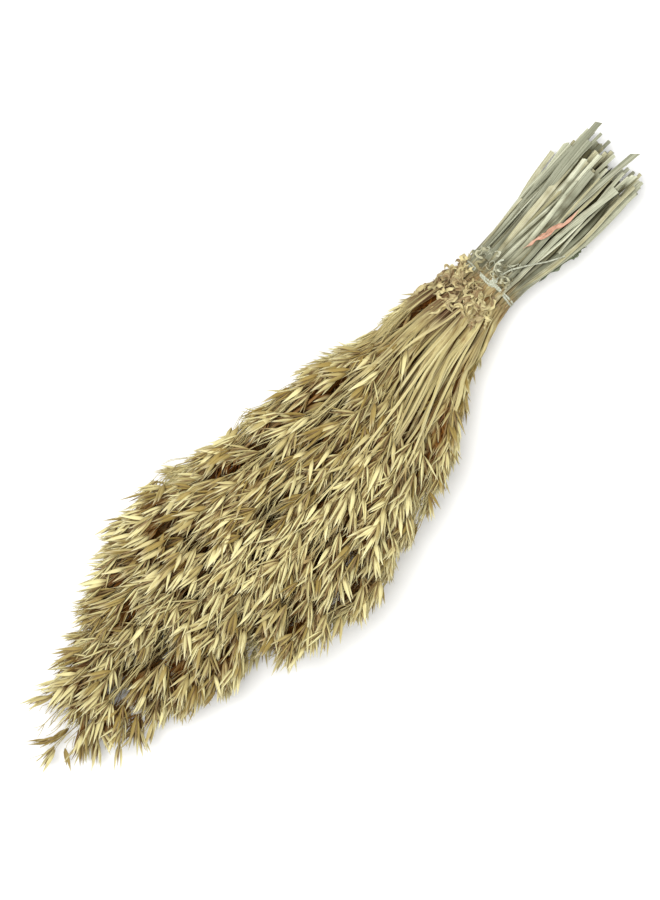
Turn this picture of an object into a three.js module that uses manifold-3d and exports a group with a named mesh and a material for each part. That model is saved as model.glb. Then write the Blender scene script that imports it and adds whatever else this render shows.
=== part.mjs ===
// Bundle of dried oats: cut stalks with their seed heads, tied once round the stems, lying down.
//
// Millimetres, +Z up. The bundle runs along X, with the seed heads towards -X and the cut stem
// ends towards +X. It rests on the undersides of its lowest heads and on its lowest stem ends.
// Every stalk is one piece, stem and seed head together. The head is a plain spindle that takes
// up the room of its small branches and husks.

import * as THREE from "three";
import * as BufferGeometryUtils from "three/addons/utils/BufferGeometryUtils.js";
import Module from "manifold-3d";

// ---------------------------------------------------------------- driving dimensions

const CUT_REACH = 160; // longest stem beyond the tie
const CUT_SPREAD = 34; // how unevenly the stems were cut
const HEAD_REACH = 551; // longest stalk, from the tie to its tip
const HEAD_SHOULDER = 235; // how much sooner the outermost stalks end
const HEAD_STAGGER = 75; // how much the rest differ in length
const HEAD_LENGTH = 190; // one seed head, along its stalk

const STEM_RADIUS = 2.15; // a dry stem in its leaf sheath
const NECK_RADIUS = 1.5; // the same stem where the head begins
const TIP_RADIUS = 0.7;
const STALK_GAP = 0.5; // clear space kept between two neighbouring stalks
const STALK_SIDES = 6;
const STATION_STEP = 45; // distance between two sections of a stalk

const CORD_RADIUS = 1.25;
const CORD_SIDES = 8;
const CORD_LIFT = 2.1; // cord axis above the outermost stems
const CORD_TURNS = 2;
const KNOT_ANGLE = 103; // degrees round the section, from the left side over the top

const LEAF_THICKNESS = 0.8;

// Outline of the bundle at a few stations. "at" is the distance from the tie towards the heads,
// and the other four are the edges of the section there, seen from the cut ends. Where "under"
// is below zero, the lowest stalks press on the surface that the bundle lies on.
const OUTLINE = [
  { at: -160, right: -30, left: 48, under: -8, top: 54 },
  { at: -70, right: -27, left: 44, under: 4, top: 55 },
  { at: 0, right: -19, left: 39, under: 15, top: 58 },
  { at: 80, right: -48, left: 60, under: 6, top: 80 },
  { at: 165, right: -94, left: 78, under: -6, top: 105 },
  { at: 270, right: -111, left: 101, under: -13, top: 120 },
  { at: 400, right: -84, left: 90, under: -13, top: 100 },
  { at: 551, right: -54, left: 58, under: -4, top: 62 },
];

// Stalks stand in staggered rows, from the lowest row to the highest.
const ROW_COUNTS = [6, 9, 10, 11, 10, 7];
const ROW_PITCH = 0.288; // between rows, as a share of half the section's height
const STALK_PITCH = 0.178; // along a row, as a share of half the section's width

// ---------------------------------------------------------------- materials

function material(color, roughness) {
  return new THREE.MeshStandardMaterial({ color, roughness, metalness: 0 });
}

const strawMaterial = material(0xc9b983, 0.75);
const cordMaterial = material(0xb9b193, 0.85);
const dryLeafMaterial = material(0xb59b64, 0.8);
const pinkLeafMaterial = material(0xcf9a86, 0.75);
const greenLeafMaterial = material(0x6f7a5c, 0.75);

// ---------------------------------------------------------------- the section of the bundle

const outline = new THREE.CubicInterpolant(
  OUTLINE.map((row) => row.at),
  OUTLINE.flatMap((row) => [row.right, row.left, row.under, row.top]),
  4,
);

// Middle and half size of the section at a distance from the tie, and the radius that each
// stalk has to itself there.
function sectionAt(distance) {
  const [right, left, under, top] = outline.evaluate(distance);
  const halfY = (left - right) / 2;
  const halfZ = (top - under) / 2;
  const beside = halfY * STALK_PITCH;
  const across = Math.hypot(beside / 2, halfZ * ROW_PITCH);
  const room = Math.min(beside, across) / 2 - STALK_GAP / 2;
  return { midY: (left + right) / 2, midZ: (top + under) / 2, halfY, halfZ, room };
}

// A point outside the stems, by its distance from the tie, its angle round the section and its
// height above the outermost stems.
function pointOverStems(distance, angleDegrees, lift) {
  const section = sectionAt(distance);
  const angle = THREE.MathUtils.degToRad(angleDegrees);
  return new THREE.Vector3(
    -distance,
    section.midY + (section.halfY + lift) * Math.cos(angle),
    section.midZ + (section.halfZ + lift) * Math.sin(angle),
  );
}

// ---------------------------------------------------------------- lofted solids

// Closed solid through a row of rings. Each ring runs counter-clockwise as seen from the start,
// looking along the row.
function loft(rings) {
  const sides = rings[0].length;
  const positions = rings.flat().flatMap((p) => [p.x, p.y, p.z]);
  const index = [];
  for (let ring = 0; ring + 1 < rings.length; ring += 1) {
    for (let side = 0; side < sides; side += 1) {
      const a = ring * sides + side;
      const b = ring * sides + ((side + 1) % sides);
      index.push(a, a + sides, b);
      index.push(a + sides, b + sides, b);
    }
  }
  const last = (rings.length - 1) * sides;
  for (let side = 1; side + 1 < sides; side += 1) {
    index.push(0, side, side + 1);
    index.push(last, last + side + 1, last + side);
  }
  const geometry = new THREE.BufferGeometry();
  geometry.setAttribute("position", new THREE.Float32BufferAttribute(positions, 3));
  geometry.setIndex(index);
  geometry.computeVertexNormals();
  return geometry;
}

// A share between 0 and 1 that differs from piece to piece, the same on every run.
function variation(pieceNumber, quality) {
  const GOLDEN = 0.6180339887;
  return (pieceNumber * GOLDEN + quality * Math.SQRT2) % 1;
}

// ---------------------------------------------------------------- stalks

// Where each stalk stands in the section: u across it and v up it, from -1 to 1.
function stalkPlaces() {
  const places = [];
  ROW_COUNTS.forEach((count, row) => {
    for (let k = 0; k < count; k += 1) {
      const u = (k - (count - 1) / 2) * STALK_PITCH;
      const v = (row - (ROW_COUNTS.length - 1) / 2) * ROW_PITCH;
      places.push({ u, v });
    }
  });
  return places;
}

function stalkRadius(distance, tip, room) {
  const share = (distance - (tip - HEAD_LENGTH)) / HEAD_LENGTH;
  if (share <= 0) {
    return Math.min(STEM_RADIUS, room);
  }
  const ends = THREE.MathUtils.lerp(NECK_RADIUS, TIP_RADIUS, share);
  const swell = Math.pow(Math.sin(Math.PI * Math.pow(share, 0.85)), 0.7);
  return Math.max(ends, room * swell);
}

function stalkGeometry(place, number) {
  const spread = Math.min(1, Math.hypot(place.u, place.v) / 0.93);
  const cut = -CUT_REACH + CUT_SPREAD * variation(number, 1);
  const drop = HEAD_SHOULDER * Math.pow(spread, 2.2);
  const tip = HEAD_REACH - drop - HEAD_STAGGER * variation(number, 2) * (1 - spread);
  const slant = 1.6 * (variation(number, 3) - 0.5); // slope of the cut across the stem

  const distances = [cut];
  const first = Math.ceil((cut + STATION_STEP / 3) / STATION_STEP);
  const end = tip - STATION_STEP / 3;
  for (let k = first; k * STATION_STEP < end; k += 1) {
    distances.push(k * STATION_STEP);
  }
  distances.push(tip);

  const rings = distances.map((distance) => {
    const section = sectionAt(distance);
    const y = section.midY + section.halfY * place.u;
    const z = section.midZ + section.halfZ * place.v;
    const radius = stalkRadius(distance, tip, section.room);
    const ring = [];
    for (let side = 0; side < STALK_SIDES; side += 1) {
      const angle = (side * 2 * Math.PI) / STALK_SIDES;
      const dy = radius * Math.cos(angle);
      const x = -distance + (distance === cut ? slant * dy : 0);
      // The lowest stalks are pressed flat where they lie on the surface.
      ring.push(new THREE.Vector3(x, y + dy, Math.max(0, z + radius * Math.sin(angle))));
    }
    return ring;
  });
  return loft(rings);
}

// ---------------------------------------------------------------- tie

const wasm = await Module();
wasm.setup();

function toSolid(geometry) {
  const bare = geometry.clone();
  bare.deleteAttribute("normal");
  bare.deleteAttribute("uv");
  const merged = BufferGeometryUtils.mergeVertices(bare, 1e-4);
  return new wasm.Manifold(
    new wasm.Mesh({
      numProp: 3,
      vertProperties: new Float32Array(merged.attributes.position.array),
      triVerts: new Uint32Array(merged.index.array),
    }),
  );
}

function toGeometry(solid) {
  const mesh = solid.getMesh();
  const geometry = new THREE.BufferGeometry();
  geometry.setAttribute("position", new THREE.BufferAttribute(mesh.vertProperties, mesh.numProp));
  geometry.setIndex(new THREE.BufferAttribute(mesh.triVerts, 1));
  geometry.computeVertexNormals();
  return geometry;
}

// Round cord along points chosen by distance, angle and lift.
function cordGeometry(places, steps) {
  const points = places.map((place) => pointOverStems(...place));
  const circle = new THREE.Shape();
  for (let side = 0; side < CORD_SIDES; side += 1) {
    const angle = (side * 2 * Math.PI) / CORD_SIDES;
    const corner = [CORD_RADIUS * Math.cos(angle), CORD_RADIUS * Math.sin(angle)];
    if (side === 0) {
      circle.moveTo(...corner);
    } else {
      circle.lineTo(...corner);
    }
  }
  return new THREE.ExtrudeGeometry(circle, {
    steps,
    bevelEnabled: false,
    extrudePath: new THREE.CatmullRomCurve3(points),
  });
}

function tieGeometry() {
  const TURN_PITCH = 3.1; // between the middles of two turns
  const POINTS_PER_TURN = 16;
  const winding = [];
  for (let k = 0; k <= CORD_TURNS * POINTS_PER_TURN; k += 1) {
    const turns = k / POINTS_PER_TURN;
    const distance = (turns - CORD_TURNS / 2) * TURN_PITCH;
    winding.push([distance, KNOT_ANGLE + 360 * turns, CORD_LIFT]);
  }
  const longTail = [
    [-2, KNOT_ANGLE, 4.0],
    [-14, KNOT_ANGLE + 3, 3.2],
    [-35, KNOT_ANGLE + 16, 2.0],
    [-60, KNOT_ANGLE + 50, 2.0],
  ];
  const shortTail = [
    [1, KNOT_ANGLE, 4.4],
    [-7, KNOT_ANGLE - 12, 4.6],
    [-17, KNOT_ANGLE - 20, 2.2],
  ];

  const knot = new THREE.SphereGeometry(1, 10, 8);
  knot.scale(5.2, 4.6, 3.3);
  const knotPlace = pointOverStems(0, KNOT_ANGLE, 4.4);
  knot.translate(knotPlace.x, knotPlace.y, knotPlace.z);

  return toGeometry(
    toSolid(cordGeometry(winding, CORD_TURNS * 30))
      .add(toSolid(cordGeometry(longTail, 14)))
      .add(toSolid(cordGeometry(shortTail, 8)))
      .add(toSolid(knot)),
  );
}

// ---------------------------------------------------------------- loose leaves

// Thin leaf strip through points chosen by distance, angle and lift. It rolls about its own
// length by "rollDegrees" from end to end, and narrows towards both ends.
function leafGeometry(places, width, rollDegrees) {
  const STEPS = 9;
  const path = new THREE.CatmullRomCurve3(places.map((place) => pointOverStems(...place)));
  const anglePath = new THREE.SplineCurve(places.map((p, k) => new THREE.Vector2(k, p[1])));
  const rings = [];
  for (let step = 0; step <= STEPS; step += 1) {
    const share = step / STEPS;
    const centre = path.getPoint(share);
    const along = path.getTangent(share);
    const around = THREE.MathUtils.degToRad(anglePath.getPoint(share).y);
    const up = new THREE.Vector3(0, Math.cos(around), Math.sin(around));
    up.addScaledVector(along, -up.dot(along)).normalize();
    up.applyAxisAngle(along, THREE.MathUtils.degToRad(rollDegrees * share));
    const across = new THREE.Vector3().crossVectors(along, up);
    const halfWidth = (width / 2) * (0.3 + 0.7 * Math.sin(Math.PI * (0.1 + 0.8 * share)));
    const corner = (a, b) =>
      centre
        .clone()
        .addScaledVector(across, a * halfWidth)
        .addScaledVector(up, (b * LEAF_THICKNESS) / 2);
    rings.push([corner(1, 1), corner(-1, 1), corner(-1, -1), corner(1, -1)]);
  }
  return loft(rings);
}

const LOOSE_LEAVES = [
  {
    name: "pink_leaf_strip",
    material: pinkLeafMaterial,
    places: [[-38, 88, 1.2], [-54, 96, 1.4], [-70, 101, 1.2], [-88, 108, 1.4]],
    width: 5.5,
    roll: 0,
  },
  {
    name: "curled_leaf",
    material: greenLeafMaterial,
    places: [[-38, 163, 2], [-50, 165, 4], [-61, 168, 7], [-67, 160, 5]],
    width: 6.5,
    roll: 70,
  },
  {
    name: "leaf_scrap_01",
    material: dryLeafMaterial,
    places: [[9, 50, 4.5], [18, 58, 5.5], [27, 50, 4.5], [38, 56, 5.5]],
    width: 6,
    roll: 40,
  },
  {
    name: "leaf_scrap_02",
    material: dryLeafMaterial,
    places: [[8, 78, 5.5], [18, 70, 4.5], [30, 74, 5.5], [42, 68, 4.5]],
    width: 7,
    roll: -35,
  },
  {
    name: "leaf_scrap_03",
    material: dryLeafMaterial,
    places: [[14, 98, 5.5], [24, 90, 4.5], [36, 94, 5.5], [50, 88, 4.5]],
    width: 6,
    roll: 30,
  },
];

// ---------------------------------------------------------------- the bundle

const bundle = new THREE.Group();

function addPiece(name, geometry, pieceMaterial) {
  const mesh = new THREE.Mesh(geometry, pieceMaterial);
  mesh.name = name;
  bundle.add(mesh);
}

stalkPlaces().forEach((place, index) => {
  const number = index + 1;
  const name = `oat_stalk_${String(number).padStart(2, "0")}`;
  addPiece(name, stalkGeometry(place, number), strawMaterial.clone());
});

addPiece("tie_cord", tieGeometry(), cordMaterial);

LOOSE_LEAVES.forEach((leaf) => {
  addPiece(leaf.name, leafGeometry(leaf.places, leaf.width, leaf.roll), leaf.material);
});

// The origin is the middle of the bundle's footprint, on the surface that it lies on.
const box = new THREE.Box3().setFromObject(bundle);
const middle = box.getCenter(new THREE.Vector3());
bundle.position.set(-middle.x, -middle.y, -box.min.z);

export default bundle;
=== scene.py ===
"""Bundle of dried oats: stalks with their seed heads, tied with cord, lying on a pale floor.

The bundle lies along X, with the seed heads towards -X and the cut stems towards +X. Every
stalk follows the middle line of its plain solid in the frame. A few shapes are modelled once
(a stem, a leaf, five spikelets) and copied along those lines.
"""

import math
import random

import bmesh
import bpy
import numpy as np
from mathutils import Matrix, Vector, noise


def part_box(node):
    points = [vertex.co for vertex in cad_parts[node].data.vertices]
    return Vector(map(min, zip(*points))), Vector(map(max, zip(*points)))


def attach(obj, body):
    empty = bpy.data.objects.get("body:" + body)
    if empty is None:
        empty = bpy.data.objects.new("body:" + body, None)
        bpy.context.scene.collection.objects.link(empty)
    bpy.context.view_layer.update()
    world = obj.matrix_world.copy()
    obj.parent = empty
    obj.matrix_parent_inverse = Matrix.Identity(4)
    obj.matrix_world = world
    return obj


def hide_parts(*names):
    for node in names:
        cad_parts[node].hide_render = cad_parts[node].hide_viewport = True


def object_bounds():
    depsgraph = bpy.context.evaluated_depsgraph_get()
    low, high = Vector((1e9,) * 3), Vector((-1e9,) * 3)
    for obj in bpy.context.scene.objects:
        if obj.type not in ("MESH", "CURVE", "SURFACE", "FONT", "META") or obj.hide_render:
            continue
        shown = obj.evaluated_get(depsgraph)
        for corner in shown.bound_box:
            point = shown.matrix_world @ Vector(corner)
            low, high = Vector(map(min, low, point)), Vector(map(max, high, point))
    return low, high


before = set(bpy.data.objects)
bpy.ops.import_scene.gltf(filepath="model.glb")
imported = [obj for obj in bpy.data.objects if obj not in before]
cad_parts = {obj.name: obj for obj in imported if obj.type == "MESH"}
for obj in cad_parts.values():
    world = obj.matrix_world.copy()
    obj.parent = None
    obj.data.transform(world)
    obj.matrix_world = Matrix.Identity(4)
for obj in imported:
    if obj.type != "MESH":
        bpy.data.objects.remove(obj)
CAD_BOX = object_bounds()

bl_info = {
    "name": "Dried Oat Bundle",
    "version": (1, 0, 0),
    "blender": (4, 5, 0),
    "location": "3D View > Sidebar > Oats",
    "description": "Makes a tied bundle of dried oats around its packed frame",
    "category": "Add Mesh",
}

MM = 0.001
STRAW, HUSK = 0, 1  # places in a stalk's list of materials
UP = np.array([0.0, 0.0, 1.0])
FLOOR_GAP = 0.3 * MM  # what lies on the floor stays this far above it
OPEN_COVER = 0.42  # layers of husks over a place that don't dim it yet
COVER_DENSITY = 1.1  # how fast more layers dim it
SMOOTH_ANGLE = math.radians(55)  # sharper edges than this stay sharp
SECTION_GAP = 4 * MM  # two sections of a frame stalk are farther apart than this
LEAF_STATIONS = 7  # points on the route of a loose leaf
STEM_RADIUS = 2.2 * MM  # from a stem's middle line to the surface of the bundle
HEADS_WIDEST = 265 * MM  # from the tie to where the heads are widest
NEIGHBOUR_REACH = 24 * MM  # stalks nearer than this, where the heads are widest, are neighbours
FIRST_FILLING = 500  # numbers of the filling stalks start here, past those of the frame
STALK_NODES = sorted(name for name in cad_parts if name.startswith("oat_stalk_"))
LOWEST = np.array(CAD_BOX[0])
HIGHEST = np.array(CAD_BOX[1])
TIE_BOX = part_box("tie_cord")
# Husks and branches stay in this room, a little larger than the frame.
ROOM = np.array([
    [LOWEST[0] - 26 * MM, LOWEST[1] - 12 * MM, FLOOR_GAP],
    [HIGHEST[0] + 26 * MM, HIGHEST[1] + 12 * MM, HIGHEST[2] + 10 * MM],
])


# ------------------------------------------------------------------ lines that pieces follow


def smooth_row(points, count):
    """A row of count points on a smooth curve through the given ones."""
    row = np.asarray(points, float)
    longer = np.vstack([2 * row[0] - row[1], row, 2 * row[-1] - row[-2]])
    place = np.linspace(0, len(row) - 1, count)
    k = np.minimum(place.astype(int), len(row) - 2)
    f = (place - k)[:, None]
    a, b, c, d = longer[k], longer[k + 1], longer[k + 2], longer[k + 3]
    cubic = (3 * b - a - 3 * c + d) * f**3
    square = (2 * a - 5 * b + 4 * c - d) * f**2
    return 0.5 * (2 * b + (c - a) * f + square + cubic)


def unit(vectors):
    """The same vectors at length one."""
    size = np.linalg.norm(vectors, axis=-1, keepdims=True)
    return vectors / np.maximum(size, 1e-12)


class Line:
    """A smooth curve that is read by the distance along it."""

    def __init__(self, points, count=64):
        self.points = smooth_row(points, count)
        steps = np.linalg.norm(np.diff(self.points, axis=0), axis=1)
        self.distance = np.concatenate([[0.0], np.cumsum(steps)])
        self.length = self.distance[-1]
        self.headings = unit(np.gradient(self.points, self.distance, axis=0))

    def at(self, distance):
        """The points at these distances. Past an end, the curve goes on straight."""
        inside = np.clip(distance, 0, self.length)
        rows = [np.interp(inside, self.distance, self.points[:, i]) for i in range(3)]
        past = np.asarray(distance - inside)
        return np.stack(rows, -1) + past[..., None] * self.heading(distance)

    def heading(self, distance):
        """The directions of the curve at these distances."""
        rows = [np.interp(distance, self.distance, self.headings[:, i]) for i in range(3)]
        return unit(np.stack(rows, -1))

    def distance_at_x(self, x):
        """How far along the curve it passes this X. The curve runs towards -X."""
        return float(np.interp(-x, -self.points[:, 0], self.distance))


def node_points(name):
    """The corner points of a frame node, each once."""
    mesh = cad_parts[name].data
    flat = np.empty(len(mesh.vertices) * 3)
    mesh.vertices.foreach_get("co", flat)
    return np.unique(np.round(flat.reshape(-1, 3), 6), axis=0)


def middle_points(name):
    """The middle of each section of a frame node, from its +X end to its -X end."""
    points = node_points(name)
    points = points[np.argsort(-points[:, 0])]
    breaks = np.where(-np.diff(points[:, 0]) > SECTION_GAP)[0] + 1
    return np.array([group.mean(axis=0) for group in np.split(points, breaks)])


def leaf_route(name):
    """A route through a frame node that lies along X, from its +X end to its -X end."""
    points = node_points(name)
    points = points[np.argsort(-points[:, 0])]
    return np.array([group.mean(axis=0) for group in np.array_split(points, LEAF_STATIONS)])


# ------------------------------------------------------------------ modelling by operator


def deselect_all():
    bpy.ops.object.select_all(action="DESELECT")


def select_where(test):
    """In edit mode, selects only the points whose place passes the test."""
    mesh = bpy.context.object.data
    shape = bmesh.from_edit_mesh(mesh)
    shape.select_mode = {"VERT"}
    for point in shape.verts:
        point.select = test(point.co)
    shape.select_flush_mode()
    bmesh.update_edit_mesh(mesh)


class Pattern:
    """A shape that is modelled once and copied: its points, and its faces as corner lists."""

    def __init__(self, piece):
        mesh = piece.data
        self.points = np.array([point.co[:] for point in mesh.vertices])
        self.sizes = np.array([len(face.vertices) for face in mesh.polygons])
        self.corners = np.concatenate([np.array(face.vertices) for face in mesh.polygons])
        self.grain = np.zeros((len(self.points), 3))
        self.rings = np.unique(np.round(self.points[:, 2], 5), return_inverse=True)[1]
        bpy.data.objects.remove(piece, do_unlink=True)
        bpy.data.meshes.remove(mesh)


def model_tube(sides, sections, hollow=False, lobes=0):
    """Closed tube of radius 1 along Z from 0 to 1, drawn out of a disc section by section."""
    deselect_all()
    bpy.ops.mesh.primitive_circle_add(vertices=sides, radius=1, fill_type="NGON")
    bpy.ops.object.mode_set(mode="EDIT")
    if lobes:
        select_where(lambda p: math.cos(lobes * math.atan2(p.y, p.x)) < -0.5)
        bpy.ops.transform.resize(value=(0.72, 0.72, 1), center_override=(0, 0, 0))
    bpy.ops.mesh.select_all(action="SELECT")
    bpy.ops.mesh.select_mode(type="FACE")
    step = 1 / (sections - 1)
    for _ in range(sections - 1):
        bpy.ops.mesh.extrude_region_move(TRANSFORM_OT_translate={"value": (0, 0, step)})
    bpy.ops.mesh.select_all(action="SELECT")
    bpy.ops.mesh.normals_make_consistent(inside=False)
    if hollow:
        shape = bmesh.from_edit_mesh(bpy.context.object.data)
        for face in shape.faces:
            face.select = face.normal.z < -0.9
        bmesh.update_edit_mesh(bpy.context.object.data)
        bpy.ops.mesh.inset(thickness=0.34)
        bpy.ops.transform.translate(value=(0, 0, step * 0.4))
    bpy.ops.mesh.select_mode(type="VERT")
    bpy.ops.object.mode_set(mode="OBJECT")
    return Pattern(bpy.context.object)


# Outline of one husk: share of its length, share of its half width, and bow of its back.
HUSK_OUTLINE = (
    (0.06, 0.40, 0.20),
    (0.25, 0.96, 0.80),
    (0.50, 0.90, 1.00),
    (0.79, 0.44, 0.75),
)


def model_husk(length, half_width, bow, segments=6):
    """One boat-shaped husk along Z, its hollow side towards -Y and its back towards +Y."""
    deselect_all()
    bpy.ops.mesh.primitive_uv_sphere_add(segments=segments, ring_count=5, radius=1)
    bpy.ops.object.mode_set(mode="EDIT")
    rings = [-math.cos(math.pi * (k + 1) / 5) for k in range(4)]
    for ring, (share, width, back) in zip(rings, HUSK_OUTLINE):
        radius = math.sqrt(1 - ring * ring)
        select_where(lambda p: abs(p.z - ring) < 0.02)
        flatten = (half_width * width / radius, half_width * 0.74 * width / radius, 1)
        bpy.ops.transform.resize(value=flatten, center_override=(0, 0, ring))
        bpy.ops.transform.translate(value=(0, bow * back, length * share - ring))
        # The inner wall is pushed out towards the back, which leaves a shell.
        inner = bow * back - 0.01 * half_width
        select_where(lambda p: abs(p.z - length * share) < 0.01 * length and p.y < inner)
        bpy.ops.transform.translate(value=(0, half_width * 0.40 * width, 0))
    select_where(lambda p: p.z < -0.99)
    bpy.ops.transform.translate(value=(0, 0, 1))
    select_where(lambda p: abs(p.z - 1) < 1e-4 and abs(p.x) + abs(p.y) < 1e-4)
    bpy.ops.transform.translate(value=(0, 0.50 * bow, length - 1))
    bpy.ops.object.mode_set(mode="OBJECT")
    return bpy.context.object


def model_spikelet(length, half_width, opening, lean):
    """Two husks that part towards their tips, with a grain between them."""
    pieces = []
    for side, share in ((1, 1.0), (-1, 0.92)):
        husk = model_husk(length * share, half_width, length * 0.035)
        for point in husk.data.vertices:
            part = point.co.z / length
            point.co.y += length * math.sin(opening) * (0.55 * part + 0.45 * part * part)
            point.co.x += lean * length * part * part * side
            if side < 0:
                point.co.x, point.co.y = -point.co.x, -point.co.y
        pieces.append(husk)
    grain = model_husk(length * 0.74, half_width * 0.5, 0.0, segments=4)
    for point in grain.data.vertices:
        point.co.z += length * 0.04
        point.co.y *= 1.5
    pieces.append(grain)
    counts = [len(piece.data.vertices) for piece in pieces]
    deselect_all()
    for piece in pieces:
        piece.select_set(True)
    bpy.context.view_layer.objects.active = pieces[0]
    bpy.ops.object.join()
    pattern = Pattern(bpy.context.object)
    pattern.grain[:, 0] = pattern.points[:, 0] / half_width
    pattern.grain[:, 1] = pattern.points[:, 2] / length
    pattern.grain[counts[0] + counts[1]:, 2] = -1.0
    return pattern


# ------------------------------------------------------------------ gathering copies in a mesh


class Gathering:
    """Copies of patterns that together make one piece."""

    def __init__(self):
        self.points, self.sizes, self.corners = [], [], []
        self.grain, self.painted_shade, self.slots = [], [], []
        self.count = 0

    def add(self, pattern, points, grain, slot):
        """Copies of a pattern. points and grain have one block for each copy."""
        copies = len(points)
        size = len(pattern.points)
        starts = self.count + size * np.arange(copies)
        self.points.append(points.reshape(-1, 3))
        self.grain.append(grain.reshape(-1, 3))
        self.painted_shade.append(np.zeros(copies * size))
        self.sizes.append(np.tile(pattern.sizes, copies))
        self.corners.append((pattern.corners[None, :] + starts[:, None]).ravel())
        self.slots.append(np.full(len(pattern.sizes) * copies, slot))
        self.count += size * copies

    def faces(self):
        """The middle and the area of every face."""
        points = np.concatenate(self.points)
        sizes = np.concatenate(self.sizes)
        corners = np.concatenate(self.corners)
        starts = np.concatenate([[0], np.cumsum(sizes)[:-1]])
        a, b = points[corners[starts]], points[corners[starts + 1]]
        c, d = points[corners[starts + 2]], points[corners[starts + sizes - 1]]
        area = np.linalg.norm(np.cross(c - a, d - b), axis=-1) / 2
        return (a + b + c + d) / 4, area

    def shade(self, cover):
        """Notes at every point how much of the bundle covers it, which sets the painted shade
        there.
        """
        self.painted_shade = [cover.at(points) for points in self.points]

    def build(self, name, materials):
        """The gathered copies as one object, which stays at the origin."""
        points = np.concatenate(self.points)
        sizes = np.concatenate(self.sizes)
        corners = np.concatenate(self.corners)
        mesh = bpy.data.meshes.new(name)
        mesh.vertices.add(len(points))
        mesh.vertices.foreach_set("co", points.ravel())
        mesh.loops.add(len(corners))
        mesh.loops.foreach_set("vertex_index", corners)
        mesh.polygons.add(len(sizes))
        mesh.polygons.foreach_set("loop_start", np.concatenate([[0], np.cumsum(sizes)[:-1]]))
        mesh.polygons.foreach_set("material_index", np.concatenate(self.slots))
        mesh.update(calc_edges=True)
        grain = mesh.attributes.new("grain", "FLOAT_VECTOR", "POINT")
        grain.data.foreach_set("vector", np.concatenate(self.grain).ravel())
        painted_shade = mesh.attributes.new("painted_shade", "FLOAT", "POINT")
        painted_shade.data.foreach_set("value", np.concatenate(self.painted_shade))
        for material in materials:
            mesh.materials.append(material)
        piece = bpy.data.objects.new(name, mesh)
        bpy.context.scene.collection.objects.link(piece)
        deselect_all()
        piece.select_set(True)
        bpy.context.view_layer.objects.active = piece
        bpy.ops.object.shade_smooth_by_angle(angle=SMOOTH_ANGLE)
        return piece


def axes_for(headings, roll=0.0):
    """Side and up directions square to the headings, turned about them by roll."""
    up = np.broadcast_to(UP, headings.shape)
    raised = unit(up - headings * np.sum(up * headings, axis=-1, keepdims=True))
    side = np.cross(raised, headings)
    turn = np.asarray(roll)[..., None]
    return side * np.cos(turn) + raised * np.sin(turn), raised * np.cos(turn) - side * np.sin(turn)


def off_the_floor(points, rings):
    """Lifts each ring of a drawn tube that would go through the floor."""
    lowest = np.full(rings.max() + 1, np.inf)
    np.minimum.at(lowest, rings, points[:, 2])
    points[:, 2] += np.maximum(FLOOR_GAP - lowest, 0)[rings]
    return points


def draw_along(parts, tube, line, start, end, shape, tone, roll=0.0, offset=None, margin=0.0,
               slant=0.0, tied=True):
    """A tube drawn along a line. shape(share) gives half width, half thickness and fold."""
    share = tube.points[:, 2]
    distance = start + share * (end - start)
    width, thickness, fold = shape(share)
    x = tube.points[:, 0]
    across = x * width
    distance = distance + slant * across * (share < 1e-3)
    lift = tube.points[:, 1] * thickness + fold * np.abs(x) * width
    turn = roll(share) if callable(roll) else roll
    side, up = axes_for(line.heading(distance), turn)
    centre = line.at(distance)
    if offset is not None:
        centre = centre + offset(share, side, up)
    centre = inside_outline(centre[:, None], margin=margin)[:, 0]
    points = centre + across[:, None] * side + lift[:, None] * up
    points = off_the_floor(FORM.pressed(points) if tied else points, tube.rings)
    grain = np.stack([across / (3 * MM), distance / (20 * MM), np.full(len(x), tone)], -1)
    parts.add(tube, points[None], grain[None], STRAW)


# ------------------------------------------------------------------ shader maths


class Socket:
    """A node's output that can be used in sums. The sums become Math nodes."""

    def __init__(self, shader, link):
        self.shader = shader
        self.link = link

    def sum(self, operation, left, right):
        return self.shader.node("ShaderNodeMath", {"operation": operation}, {0: left, 1: right})

    def __add__(self, other):
        return self.sum("ADD", self, other)

    def __radd__(self, other):
        return self.sum("ADD", other, self)

    def __sub__(self, other):
        return self.sum("SUBTRACT", self, other)

    def __rsub__(self, other):
        return self.sum("SUBTRACT", other, self)

    def __mul__(self, other):
        return self.sum("MULTIPLY", self, other)

    def __rmul__(self, other):
        return self.sum("MULTIPLY", other, self)


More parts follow.
